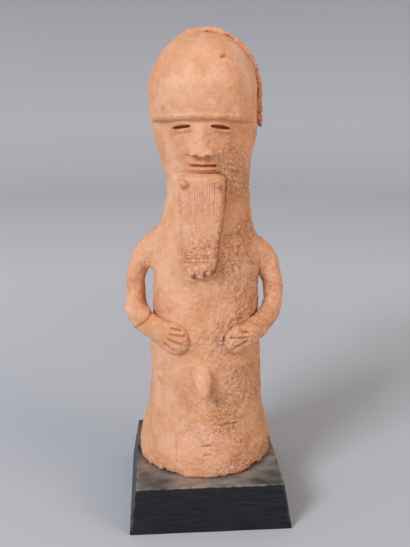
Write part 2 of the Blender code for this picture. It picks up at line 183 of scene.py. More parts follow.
# Beard, chin to end: height, half width, how far its face stands in front of the axis, shift
BEARD_PROFILE = (
    (421, 20, 63, 1),
    (417, 28, 69, 0.5),
    (412, 29, 72.5, 0),
    (390, 28.2, 75, -1),
    (360, 26.2, 77, -3),
    (330, 24.6, 80.5, -7),
    (317, 24, 82, -8),
    (304, 22.8, 84, -8),
    (296, 21.5, 84.5, -8),
    (291, 20, 83, -8),
    (289, 19, 76, -8),
)
BEARD_ROWS, BEARD_COLUMNS = 150, 190
BEARD_BACK = 28
BEARD_COMB_PITCH = 2.9
BEARD_COMB_DEPTH = 0.9
BEARD_BANDS = (319.5, 315.5, 310.5)
BEARD_BAND_WIDTH, BEARD_BAND_DEPTH = 1.0, 1.1
# The beard's lower outline round its locks: side and height
BEARD_END = (
    (-32, 306), (-28.5, 299), (-25, 293.5), (-20, 289.5), (-16.5, 289.5), (-14.6, 290.5), (-13.3, 292.5),
    (-12, 290), (-9.5, 287.5), (-6.5, 286.5), (-3.6, 287.5), (-1.9, 290), (-0.6, 293), (0.8, 291), (3, 289.8),
    (5.4, 291), (6.8, 293), (8, 296), (9.6, 296), (12, 300), (15, 307), (17, 315),
)
BEARD_END_FROM = 313
# Notches between the locks: side and length
LOCK_NOTCHES = ((-13.3, 8), (-0.6, 9), (8, 7), (-27, 6))
LOCK_NOTCH_WIDTH, LOCK_NOTCH_DEPTH = 1.5, 1.8
LOCKS_FROM = 296

# Knots at the beard's upper corners: side, front, height
BEARD_KNOTS = ((-22.5, -72, 409.5), (20.5, -74.5, 412.5))
KNOT_RADIUS = 5.6
KNOT_RINGS, KNOT_SIDES = 30, 44
# The thumbed dent on a knot, from its middle
KNOT_DENT = (-4.4, -4.0, -1.6)
KNOT_DENT_RADIUS, KNOT_DENT_DEPTH = 2.4, 2.4

# The small boss low on the belly: side, front, height, radius twice
BOSS = (
    (-4.6, -58, 164, 7, 7),
    (-4.6, -67, 157, 11, 11),
    (-4.4, -77, 151, 13, 13),
    (-3.8, -86, 146, 12.2, 12.2),
    (-2.9, -93, 138.5, 9.6, 9.6),
    (-2.4, -97.5, 133, 7.6, 7.6),
    (-2.2, -99.8, 128.5, 6.2, 6.2),
    (-2.1, -100.6, 126, 4.2, 4.2),
)
BOSS_RINGS, BOSS_SIDES = 70, 64

# Hair roll over the head from ear to ear
HAIR_HALF_WIDTH = 9
HAIR_HALF_THICKNESS = 5
HAIR_REACH = 98
HAIR_HALF_SPAN = 72.5
HAIR_MIDDLE_HEIGHT = 500
HAIR_RISE = 98.5
HAIR_SQUARENESS = 0.85
HAIR_BACK = 13
HAIR_SIDE_BACK = 8
HAIR_CRACK = (28, 592.6, 36.5, 588.6)
HAIR_CRACK_WIDTH, HAIR_CRACK_DEPTH = 1.7, 2.6
HAIR_CREST_ANGLE, HAIR_CREST_RISE = -17, 2
# Where its ends start to close and to draw in, and by what share they do
HAIR_CLOSES_FROM, HAIR_END_FROM, HAIR_END_DRAWN_IN = 66, 76, 0.085
HAIR_RINGS, HAIR_SIDES = 300, 52
EAR_TURNS = (("right_ear", -121), ("left_ear", 105))
EAR_HEIGHT = 511
EAR_HALF_HEIGHT = 25
EAR_HALF_WIDTH = 12
EAR_RADIUS = 6.5
EAR_RISE = 7.5
EAR_OPENING = 70
EAR_RINGS, EAR_SIDES = 140, 44

# Plinth: how far each side leans in to the top, the radii of its level and its upright edges
PLINTH_FLARE = 10
PLINTH_EDGE = 0.9
PLINTH_CORNER = 1.5
# Points round it, rings on its underside and its top, and where the rings of its sides start above it
PLINTH_COLUMNS = 400
PLINTH_UNDER_RINGS, PLINTH_TOP_RINGS = 16, 34
PLINTH_SIDE_FROM = 2
# Radius of the ring about the figure's foot where the top is palest
PLINTH_PALE_RING = 101

# Marks pressed or scratched into the body: side and height of one end, then of the other, width, depth
BODY_MARKS = (
    (20.7, 76.2, 42.3, 76.8, 0.9, 1.6),
    (56, 311, 62, 303, 1.1, 0.9),
    (61, 301, 69, 293, 1.3, 1.1),
    (57, 300, 62, 296, 1.0, 0.7),
    (-3, 48.4, 7.5, 48.6, 1.2, 1.5),
    (-1.5, 35, 10, 35.4, 1.1, 1.3),
    (-42, 58, -41.2, 36, 0.7, 0.7),
    (-41.2, 36, -40, 20, 0.7, 0.6),
    (-17, 177, -8, 175.5, 1.6, 0.35),
    (-8, 175.5, -2, 173, 1.6, 0.3),
    (-5, 171, 8, 169.5, 1.7, 0.35),
    (0.5, 70, 3, 71, 1.0, 1.0),
)
# Marks on the dome: a pit, a prick and a scratch, given in the same way
DOME_MARKS = (
    (20.5, 566, 24.5, 567, 1.8, 2.2),
    (-54, 503.5, -53.5, 503, 1.0, 1.2),
    (-14, 559, -8.5, 564, 0.7, 0.45),
)

# The fired clay's colour, and the clouds laid over it in turn: colour, size in millimetres, detail, the
# levels at which a cloud starts and is full, and how strong it is
CLAY = "#D6986E"
CLAY_CLOUDS = (
    ("#E6B28D", 60, 3, 0.35, 0.65, 1),
    ("#E6AA92", 30, 4, 0.5, 0.68, 0.6),
    ("#CB875D", 17, 6, 0.5, 0.72, 0.6),
    ("#EFC09C", 9, 5, 0.54, 0.74, 0.7),
    ("#B4714A", 3.0, 4, 0.56, 0.82, 0.45),
)
# Grit and specks where the skin is rough, drawn coarser than the real grains so that they show
ROUGH_CLOUDS = (("#B2643A", 4.2, 3, 0.5, 0.66, 0.75), ("#F5D3B5", 3.2, 2, 0.57, 0.7, 0.85))
# Painted shade for the hollows and creases; whitening where salts bloomed, and a faint painted highlight on
# the boss
PAINTED_SHADE_COLOUR, BLOOM_AND_HIGHLIGHT_COLOUR = "#9C5029", "#F0D4BE"

# The photograph's camera: where it stands in metres, its tilt and turn, and its upright angle of view
CAMERA_PLACE = (-0.068, -0.9586, 0.611)
CAMERA_DOWN = 15.8
CAMERA_YAW = -4.0
CAMERA_VIEW = 42

# The studio, in metres: radius of the level floor, radius of its bend into the wall, and the wall's top
BACKDROP_FLOOR = 2.9
BACKDROP_BEND = 1.4
BACKDROP_TOP = 1.9
BACKDROP_TURNS = 96
# Its tones beside the figure, farther off and high up, and where each change starts and ends: painted shade
# near the figure and high up, and painted light far off
BACKDROP_NEAR, BACKDROP_FAR, BACKDROP_HIGH = "#BABFC7", "#D2D6DF", "#B2B4B9"
BACKDROP_CHANGE = (0.3, 1.3)
# Lights: name, place, what they aim at, size, power, colour
LIGHTS = (
    ("window", (-2.5, -2.5, 2.6), (0, 0, 0.3), 1.3, 126, "#F4F7FF"),
    ("fill", (2.3, -1.7, 1.4), (0, 0, 0.35), 1.4, 32, "#FFE4CC"),
)
AIR_COLOUR, AIR_STRENGTH = "#E6E0DA", 0.58


def through(knots, count):
    """Points of a Catmull-Rom curve through the knots, evenly spread in knots."""
    knots = np.asarray(knots, float)
    run = np.vstack([2 * knots[0] - knots[1], knots, 2 * knots[-1] - knots[-2]])
    place_in_knots = np.linspace(0, len(knots) - 1, count)
    first = np.minimum(place_in_knots.astype(int), len(knots) - 2)
    t = (place_in_knots - first)[:, None]
    a, b, c, d = (run[first + step] for step in range(4))
    return 0.5 * (2 * b + (c - a) * t + (2 * a - 5 * b + 4 * c - d) * t**2 + (3 * b - a - 3 * c + d) * t**3)


def ease(value, low, high):
    """0 at low, 1 at high, and smooth between them: three times the square less twice the cube."""
    t = np.clip((value - low) / (high - low), 0, 1)
    return t * t * (3 - 2 * t)


def hump(distance, half_width):
    """A bell: 1 in the middle, falling as the square of the distance in half widths."""
    return np.exp(-((distance / half_width) ** 2))


def unit(vectors):
    """The vectors at a length of 1."""
    return vectors / np.linalg.norm(vectors, axis=-1, keepdims=True)


def waves(points, size, seed, count=28):
    """A smooth random field of about unit height.

    It is the sum of sine waves, each with a random direction and phase and a length near size.
    """
    chance = np.random.default_rng(seed)
    directions = unit(chance.normal(size=(count, 3)))
    lengths = size * chance.uniform(0.7, 1.4, count)
    phases = chance.uniform(0, 2 * np.pi, count)
    turns = points @ (directions * (2 * np.pi / lengths)[:, None]).T + phases
    return np.sin(turns).sum(-1) * math.sqrt(2 / count)


def pecks(points, spacing, seed):
    """Distance, in shares of the spacing, to the nearest of one point jittered in each cube of a lattice."""
    scaled = points / spacing
    cell = np.floor(scaled)
    nearest = np.full(points.shape[:-1], 9.0)
    for step in product((-1, 0, 1), repeat=3):
        corner = cell + step
        key = corner @ np.array([127.1, 311.7, 74.7]) + seed
        jitter = np.stack([np.sin(key + part) * 43758.5453 % 1 for part in (0.0, 1.7, 3.9)], -1)
        nearest = np.minimum(nearest, np.linalg.norm(scaled - corner - jitter, axis=-1))
    return nearest


def points_at(x, y, z):
    """Points with these coordinates, spread to one shape."""
    return np.stack(np.broadcast_arrays(x, y, z), -1)


def turned(points, angle):
    """Points turned about the upright axis by an angle in radians: one for all, or one for each."""
    x, y, z = np.moveaxis(points, -1, 0)
    return points_at(x * np.cos(angle) - y * np.sin(angle), x * np.sin(angle) + y * np.cos(angle), z)


def turn_head(points, way=1):
    """Points turned as far as the head is at their height, or back if way is -1."""
    return turned(points, way * np.radians(HEAD_TURN) * ease(points[..., 2], TURN_FROM, TURN_TO))


def place(points):
    """Figure's frame in millimetres to the row frame in metres: turned on the plinth, set back and lifted."""
    return (turned(points, math.radians(FIGURE_TURN)) + (0, SET_BACK, FOOT)) * MM


def normals(grid):
    """Unit normals of a grid of rings: the cross product of the steps round its rings and along them."""
    cross = np.cross(np.roll(grid, -1, 1) - np.roll(grid, 1, 1), np.gradient(grid, axis=0))
    return cross / np.maximum(np.linalg.norm(cross, axis=-1, keepdims=True), 1e-9)


def closed_faces(rows, columns):
    """Quads round a grid of rings, and a fan at each end to the two points that follow the grid."""
    row, column = np.meshgrid(np.arange(rows - 1), np.arange(columns), indexing="ij")
    following = (column + 1) % columns
    low, high = row * columns, (row + 1) * columns
    quads = np.stack([low + column, low + following, high + following, high + column], -1).reshape(-1, 4)
    side = np.arange(columns)
    after = (side + 1) % columns
    first, last, top = rows * columns, rows * columns + 1, (rows - 1) * columns
    start = np.stack([np.full(columns, first), after, side], -1)
    end = np.stack([np.full(columns, last), top + side, top + after], -1)
    return quads.tolist() + start.tolist() + end.tolist()


def new_object(name, data):
    """A mesh, light or camera as an object in the scene."""
    made = bpy.data.objects.new(name, data)
    bpy.context.scene.collection.objects.link(made)
    return made


def mesh_object(name, points, faces):
    """A smooth-shaded mesh of points in metres, as an object in the scene."""
    mesh = bpy.data.meshes.new(name)
    mesh.from_pydata(points.tolist(), [], faces)
    mesh.shade_smooth()
    return new_object(name, mesh)


def closed_piece(name, points, shape, slot, **labels):
    """A closed piece from a grid's points in metres, followed by one for each end.

    Each label is a number from 0 to 1 for every point of the grid, for the piece's material to read.
    """
    made = mesh_object(name, points, closed_faces(*shape))
    for label, share in labels.items():
        values = np.append(np.broadcast_to(share, shape), [0.0, 0.0]).astype(np.float32)
        made.data.attributes.new(label, "FLOAT", "POINT").data.foreach_set("value", values)
    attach(made, "root")
    return made


def clay_piece(name, grid, painted_shade, rough=0.2, bloom_and_highlight=0.0, inward=0.0):
    """A closed piece of clay from a grid of rings that run anticlockwise seen from the last one.

    Each end closes in its ring's middle, the first moved by inward along Z. From 0 to 1, the third argument
    is painted shade in the recesses and creases, rough raises the grit, and the fifth whitens for salts and a
    painted highlight.
    """
    points = place(np.vstack([grid.reshape(-1, 3), grid[0].mean(0) + (0, 0, inward), grid[-1].mean(0)]))
    shares = {"painted_shade": painted_shade, "rough": rough, "bloom_and_highlight": bloom_and_highlight}
    return closed_piece(name, points, grid.shape[:2], "terracotta", **shares)


PROFILE_RUN = through(BODY_PROFILE, 2000)


def profile_at(height):
    """Half width, half depth and shift to the side of the body at a height."""
    return [np.interp(height, PROFILE_RUN[:, 0], PROFILE_RUN[:, column]) for column in range(1, 4)]


def even_steps(run, spacing):
    """Values along run that are spacing apart, both given at the same places, ends included."""
    steps = np.concatenate([[0], np.cumsum(np.abs(np.diff(run[1])) / (spacing[1:] + spacing[:-1]) * 2)])
    return np.interp(np.linspace(0, steps[-1], round(steps[-1]) + 1), steps, run[0])


def body_turns():
    """Turns of the columns from the front, in degrees: closest across the front, widest behind."""
    turn = np.linspace(-180, 180, 3601)
    spacing = FRONT_SPACING + (BACK_SPACING - FRONT_SPACING) * ease(np.abs(turn), 60, 120)
    return even_steps((turn, turn), spacing)[:-1]


def body_heights():
    """Heights of the rows: even along the profile, and closer across the face."""
    run = PROFILE_RUN[PROFILE_RUN[:, 0] <= CROWN_END]
    length = np.concatenate([[0], np.cumsum(np.hypot(np.diff(run[:, 0]), np.diff(run[:, 1])))])
    low, high = FACE_BAND
    in_face = ease(run[:, 0], low - 12, low) * ease(run[:, 0], high + 12, high)
    spacing = ROW_SPACING + (FACE_ROW_SPACING - ROW_SPACING) * in_face
    return even_steps((run[:, 0], length), spacing)


def on_front(turn):
    """1 on the front, falling to 0 at the brow's ends."""
    return ease(BROW_REACH - np.abs(turn), 0, BROW_REACH / 3)


def skin(turn, height, out=0.0):
    """Points on the body at turns from the front, in degrees, raised by out.

    An oval of the profile's half width and depth. Under the brow the front is set in, and towards the sides
    the brow and what is near it drop as one less the cosine of the turn.
    """
    angle = np.radians(turn)
    half_width, half_depth, aside = profile_at(height)
    below_step = ease(height, BROW_HEIGHT, BROW_HEIGHT - BROW_STEP)
    above_chin = ease(height, FACE_FADES_OUT, BROW_HEIGHT)
    rise = out - BROW_OVERHANG * on_front(turn) * below_step * above_chin
    x = aside + (half_width + rise) * np.sin(angle)
    y = -(half_depth + rise) * np.cos(angle)
    sideways = 1 - np.cos(np.clip(angle, -np.pi / 2, np.pi / 2))
    drop = BROW_SIDE_DROP * sideways * hump(height - BROW_HEIGHT, 45)
    return turn_head(points_at(x, y, height - drop))


def body_distance(points):
    """About how far points are outside the body's oval: its share over one, times its mean radius."""
    x, y, z = np.moveaxis(turn_head(points, -1), -1, 0)
    half_width, half_depth, aside = profile_at(z)
    share = np.hypot((x - aside) / half_width, y / half_depth)
    return (share - 1) * (half_width + half_depth) / 2


def beside(path, outward):
    """Directions square to a path, one across it and one as near outward as can be."""
    along = unit(np.gradient(path, axis=0))
    across = unit(np.cross(along, outward))
    return across, np.cross(across, along)


def limb(knots, rings):
    """Centres and half sizes along an arm or boss, with the directions across it and outward from it."""
    run = through(knots, rings)
    return run[:, :3], run[:, 3:], *beside(run[:, :3], run[:, :3] * (1, 1, 0))


def limb_distance(points, run):
    """About how far points are outside an arm or boss: its nearest oval's share over one, times its size."""
    centre, half_sizes, across, outward = run
    flat = points.reshape(-1, 3)
    gaps = (flat**2).sum(1)[:, None] - 2 * flat @ centre.T + (centre**2).sum(1)
    nearest = gaps.argmin(1)
    offset = flat - centre[nearest]
    side = (offset * across[nearest]).sum(1)
    up = (offset * outward[nearest]).sum(1)
    ahead = np.sqrt(np.maximum((offset**2).sum(1) - side**2 - up**2, 0))
    wide, thick = half_sizes[nearest].T
    share = np.sqrt((side / wide) ** 2 + (up / thick) ** 2 + (ahead / thick) ** 2)
    return ((share - 1) * np.minimum(wide, thick)).reshape(points.shape[:-1])


def fillet(grid, normal, own, other, reach):
    """Raises a surface where it nears another, so that they meet in a concave curve, and says how near it is.

    The surface moves along its normals until the smooth least of the distances to its own form and the other
    is nothing, which is a quarter of the reach at the most. Past the line where the two are equal it sinks
    again, under the other.
    """
    rise = np.zeros(grid.shape[:-1])
    for _ in range(8):
        at = grid + normal * rise[..., None]
        mine, theirs, length = own(at), other(at), reach(at)
        share = np.maximum(length - np.abs(mine - theirs), 0) / length
        rise = np.clip(rise - (np.minimum(mine, theirs) - share**2 * length / 4), 0, length / 4)
    rise -= 0.4 * np.clip(mine - theirs, 0, 12)
    return grid + normal * rise[..., None], np.exp(-np.maximum(theirs, 0) / 5)


def arm_reach(points):
    """Reach of the hollow curve beside the arms: short at the hands, long before and behind the shoulders."""
    at_shoulder = ease(points[..., 2], *SHOULDER_HEIGHTS) * ease(np.abs(points[..., 1]), *SHOULDER_FRONTS)
    return FILLET + (SHOULDER_FILLET - FILLET) * at_shoulder


def boss_reach(points):
    """The reach of the concave curve beside the boss: long above it, so that its top melts into the belly."""
    return BOSS_FILLET + BOSS_TOP_FILLET * ease(points[..., 2], 146, 166)


def beard_reach(points):
    """The reach of the concave curve beside the beard: longer on its right, and none at the face."""
    on_right = ease(points[..., 0], 0, -15)
    reach = BEARD_FILLET + (BEARD_RIGHT_FILLET - BEARD_FILLET) * on_right
    return reach * ease(points[..., 2], 432, 408) + 0.1


def beard_distance(points):
    """How far points are outside the beard, taken as an upright board of the profile's width and front."""
    height, half_width, front, shift = through(BEARD_PROFILE, 200).T[:, ::-1]
    x, y, z = np.moveaxis(turn_head(points, -1), -1, 0)
    aside = np.abs(x - np.interp(z, height, shift)) - np.interp(z, height, half_width)
    deep = np.maximum(-y - np.interp(z, height, front), y + BEARD_BACK)
    beyond = np.maximum(height[0] - z, z - height[-1])
    gaps = np.stack([aside, deep, beyond])
    return np.linalg.norm(np.maximum(gaps, 0), axis=0) + np.minimum(gaps.max(0), 0)


def line_cut(points, ends, width):
    """A groove's profile on the body's front: a bell of the distance to a line in side and height."""
    start, end = np.array(ends[:2]), np.array(ends[2:4])
    flat = points[..., [0, 2]]
    along = end - start
    share = np.clip(((flat - start) @ along) / (along @ along), 0, 1)
    gap = np.linalg.norm(flat - start - share[..., None] * along, axis=-1)
    return hump(gap, width) * (points[..., 1] < 0)


def face_relief(turn, height):
    """Rise of the face off the head, and the painted shade in its nostrils, mouth and eye slits.

    Bells and ridges laid out by the schoolbook canon: nose from the brow to half way down, mouth a third
    below it, eyes one eye's width apart. The eyes are closed slits, and the whole is symmetric and calm.
    """
    across = np.radians(turn) * FACE_RADIUS
    aside = np.abs(across)
    up = height - NOSE_BASE
    bridge = np.clip(up / (BROW_HEIGHT - NOSE_BASE), 0, 1)
    width = 5.5 + (NOSE_HALF_WIDTH - 8.5) * (1 - bridge) ** 1.3
    ridge = NOSE_RISE * (1 - 0.82 * bridge) * ease(up, -3.5, 3) * ease(up, 42, 30)
    nose = ridge * hump(across, width * 1.15)
    wings = 6 * hump(aside - (NOSE_HALF_WIDTH - 6), 6) * hump(up - 5, 5) * ease(up, -3, 1)
    nostrils = hump(aside - 7.2, 2.9) * hump(up - 1.4, 2.6)
    muzzle = 4.5 * np.exp(-(((across / 28) ** 2 + ((height - MOUTH_HEIGHT - 2) / 17) ** 2) ** 1.5))
    mouth_end = ease(aside, MOUTH_HALF_WIDTH + 3, MOUTH_HALF_WIDTH - 7)
    bow = 1.2 * hump(across, 4) - 1.0 * hump(aside - 8, 5)
    upper_lip = 3.6 * hump(height - MOUTH_HEIGHT - 4.2 + bow * 0.6, 2.9) * mouth_end
    lower_lip = 4.2 * hump(height - MOUTH_HEIGHT + 4.2, 3.1) * mouth_end
    parting = hump(height - MOUTH_HEIGHT, 1.35) * ease(aside, MOUTH_HALF_WIDTH, MOUTH_HALF_WIDTH - 4)
    eye_across = (aside - EYE_OFFSET) / (EYE_WIDTH / 2)
    eye_up = height - EYE_HEIGHT + 0.09 * (aside - EYE_OFFSET)
    lids = 3.0 * np.exp(-((eye_across / 1.15) ** 4 + (eye_up / 7.5) ** 4))
    lids += 1.0 * hump(np.hypot(eye_across * 6, eye_up) - 5.2, 1.4) * ease(np.abs(eye_across), 1.35, 1.0)
    slit_half = 1.9 * np.sqrt(np.clip(1 - eye_across**2, 0, 1))
    slits = ease(np.abs(eye_up), slit_half + 0.9, slit_half - 0.5) * ease(np.abs(eye_across), 1.02, 0.9)
    cheeks = 1.8 * hump(aside - 34, 17) * hump(height - 452, 18)
    rise = nose + wings + muzzle + upper_lip + lower_lip + lids + cheeks
    rise -= 5.5 * nostrils + 4.2 * parting + 6.5 * slits
    return rise, np.clip(nostrils + parting + slits, 0, 1)


def brow_ridge(turn, height, points):
    """A thin roll along the brow's edge, pricked all along: a bell of the height times a pricked pattern."""
    roll = hump(height - BROW_HEIGHT - 3.2, 2.4) * on_front(turn)
    return roll * (1.3 + 0.35 * waves(points * (1, 1, 0.4), 3.2, 71))


def roughness(points):
    """How rough the clay is: most on the figure's left, in patches, and least on its right side."""
    leftward = ease(points[..., 0], -55, 38)
    patches = ease(waves(points, 60, 5), -1.0, 1.0)
    on_trunk = ease(points[..., 2], 520, 430) * (1 - 0.25 * ease(points[..., 2], 100, 45))
    return np.clip((0.12 + leftward * on_trunk) * (0.45 + 0.7 * patches), 0, 1)


def clay_relief(points, rough):
    """Rise of the hand-worked surface, and the painted shade in its pits and the low parts of its dimples.

    Random waves of three sizes for the uneven wall, a stipple of small dimples where the clay is rough, level
    wiping streaks, and pits: dents round some points of a jittered lattice.
    """
    lumps = 0.7 * waves(points, 75, 1) + 0.3 * waves(points, 24, 2)
    dimples = rough * (0.3 * waves(points, 11, 3) + 0.46 * waves(points * (1, 1, 0.8), 5.2, 4, 40))
    streaks = 0.12 * waves(points * (0.12, 0.12, 1), 3.4, 6) * ease(waves(points, 60, 7), -0.4, 0.8)
    pits = ease(pecks(points, 19, 8.3), 0.09, 0.03) * ease(waves(points, 45, 10), -0.3, 0.6)
    rise = lumps + dimples + streaks - 0.7 * pits
    return rise, np.clip(0.7 * pits - 0.12 * dimples, 0, 1)


def neck_scratches(points):
    """Scratches combed across the left of the neck: waves drawn out along a line that sinks to the side."""
    x, y, z = np.moveaxis(points, -1, 0)
    along = points_at(0.1 * x, 0.1 * y, z + 0.35 * x)
    where = ease(x, 8, 26) * ease(z, 352, 372) * ease(z, 424, 408) * (y < 0)
    return 0.55 * where * waves(along, 4.6, 9)


def ragged_rim(turn, height):
    """How far the broken lower edge is lifted: chips of random width, most at the front corners."""
    ring = points_at(np.cos(np.radians(turn)) * 90, np.sin(np.radians(turn)) * 90, 0)
    corners = 0.35 + 0.9 * hump(np.abs(turn) - 46, 22)
    broad = np.clip(waves(ring, 40, 21), 0, 2) * 1.1
    chips = 1.5 * ease(waves(ring, 12, 22), -0.4, 1.3) + 1.2 * ease(waves(ring, 5.5, 23), -0.3, 1.2)
    return (broad + chips) * corners * ease(height, 13, 0)


def bloom_on_dome(turn, height, points):
    """Whitening by salts down the dome's left side, and a faint cloud of it in the middle: bells, patchy by
    waves.
    """
    band = 0.42 * hump(turn - 58, 13) * ease(height, 505, 535) * ease(height, 592, 575)
    cloud = 0.16 * hump(turn + 14, 32) * hump(height - 535, 26)
    return np.clip((band + cloud) * (0.8 + 0.2 * waves(points, 6, 11)), 0, 1)


def build_body(arms, boss):
    """Column, neck and head in one skin: the oval body, the face, the meetings and the worked surface."""
    turn, height = np.meshgrid(body_turns(), body_heights())
    on_face, face_painted_shade = face_relief(turn, height)
    front = on_front(turn)
    on_face *= front
    grid = skin(turn, height, on_face)
    grid[..., 2] -= 0.28 * np.clip(on_face - 2, 0, None) * hump(height - NOSE_BASE - 8, 16)
    chipped = ragged_rim(turn, height)
    grid[..., 2] += chipped
    grid[..., 0] -= FOOT_RIGHT_DRAWN_IN * ease(height, 45, 12) * ease(grid[..., 0], 35, 90)
    normal = normals(grid)
    near = np.zeros(turn.shape)
    joins = (
        (ARMS_MEET, lambda at: limb_distance(at, arms[0]), arm_reach),
        (ARMS_MEET, lambda at: limb_distance(at, arms[1]), arm_reach),
        (BOSS_MEETS, lambda at: limb_distance(at, boss), boss_reach),
        (BEARD_MEETS, beard_distance, beard_reach),
    )
    for (low, high), distance, reach in joins:
        rows = np.flatnonzero((height[:, 0] > low) & (height[:, 0] < high))
        band = slice(rows[0], rows[-1] + 1)
        grid[band], nearness = fillet(grid[band], normal[band], body_distance, distance, reach)
        near[band] = np.maximum(near[band], nearness)
    rough = roughness(grid)
    relief, painted_shade = clay_relief(grid, rough)
    relief += neck_scratches(grid)
    # The face is smoothed more than the rest
    relief *= 1 - 0.75 * front * ease(height, 425, 440) * ease(height, 492, 484)
    relief += brow_ridge(turn, height, grid)
    for *ends, width, depth in BODY_MARKS + DOME_MARKS:
        cut = line_cut(grid, ends, width)
        relief -= depth * cut
        painted_shade = np.maximum(painted_shade, min(0.6 * depth, 0.9) * cut)
    relief -= 0.45 * chipped
    # A painted shadow along the lowest few millimetres of the foot, where the broken rim stands off the
    # plinth
    painted_shade = np.maximum(painted_shade, 0.8 * ease(height, 3.5, 0))
    relief *= ease(height, CROWN_END, CROWN_END - 6)
    grid += normal * relief[..., None]
    # Painted shade where the body meets the arms, hands, boss and beard, strongest as a painted shadow on the
    # figure's left of the beard
    beside_beard = ease(grid[..., 0], 5, 22) * ease(grid[..., 0], 60, 50) * ease(height, 285, 295)
    beside_hands = ease(height, 255, 225) * ease(height, 170, 185)
    beside_boss = ease(height, 165, 150) * ease(height, 95, 110)
    crease_shade = 0.12 + 0.75 * beside_beard + 0.12 * beside_hands + 0.25 * beside_boss
    painted_shade = np.clip(painted_shade + face_painted_shade * front + crease_shade * ease(near, 0.4, 1), 0, 1)
    return clay_piece("clay_body", grid, painted_shade, rough, bloom_on_dome(turn, height, grid), inward=6)


def closing(along, low, high, least=0.02):
    """How far rings shrink from low to high, so that they close as a round end does."""
    return np.sqrt(np.clip(1 - ease(along, low, high), least, 1))


def ovals(centre, across, raised, half_sizes, sides):
    """A grid of ovals about a row of centres, with their half sizes along two directions."""
    angle = np.linspace(2 * np.pi, 0, sides, endpoint=False)
    sideways = (across * half_sizes[:, :1])[:, None] * np.cos(angle)[:, None]
    return centre[:, None] + sideways + (raised * half_sizes[:, 1:])[:, None] * np.sin(angle)[:, None]


def limb_grid(run, sides, closing_from):
    """A grid of ovals along a limb. From a share of its length on, they close as a round end does."""
    centre, half_sizes, across, outward = run
    rings = len(centre)
    closed = closing(np.arange(rings), rings * closing_from, rings - 1)
    return ovals(centre, across, outward, half_sizes * closed[:, None], sides)


def build_arm(name, run, cuts):
    """An arm and its hand: ovals along its path, with lumps, a lapped elbow and cuts between the fingers."""
    grid = limb_grid(run, ARM_SIDES, 0.955)
    normal = normals(grid)
    grid, near_body = fillet(grid, normal, lambda at: limb_distance(at, run), body_distance, arm_reach)
    rough = 0.2 + 0.4 * roughness(grid)
    relief, painted_shade = clay_relief(grid, rough)
    relief += 0.25 * waves(grid, 13, 31)
    for side, front, height, radius, rise in ARM_LUMPS:
        relief += rise * hump(np.linalg.norm(grid - (side, front, height), axis=-1), radius)
    lap = line_cut(grid, ELBOW_LAP, LAP_WIDTH)
    lip = line_cut(grid + LAP_TO_LIP, ELBOW_LAP, LIP_WIDTH)
    relief += LIP_RISE * lip - LAP_DEPTH * lap
    painted_shade = np.maximum(painted_shade, 0.7 * lap)
    for cut in cuts:
        groove = line_cut(grid, cut, FINGER_CUT_WIDTH)
        relief -= FINGER_CUT_DEPTH * groove + FINGER_VALLEY_DEPTH * line_cut(grid, cut, FINGER_VALLEY_WIDTH)
        painted_shade = np.maximum(painted_shade, 0.8 * groove)
    grid += normal * relief[..., None]
    # Painted shade in the recesses and cuts, and where the arm meets the body
    return clay_piece(name, grid, np.clip(painted_shade + 0.2 * ease(near_body, 0.3, 1), 0, 1), rough)


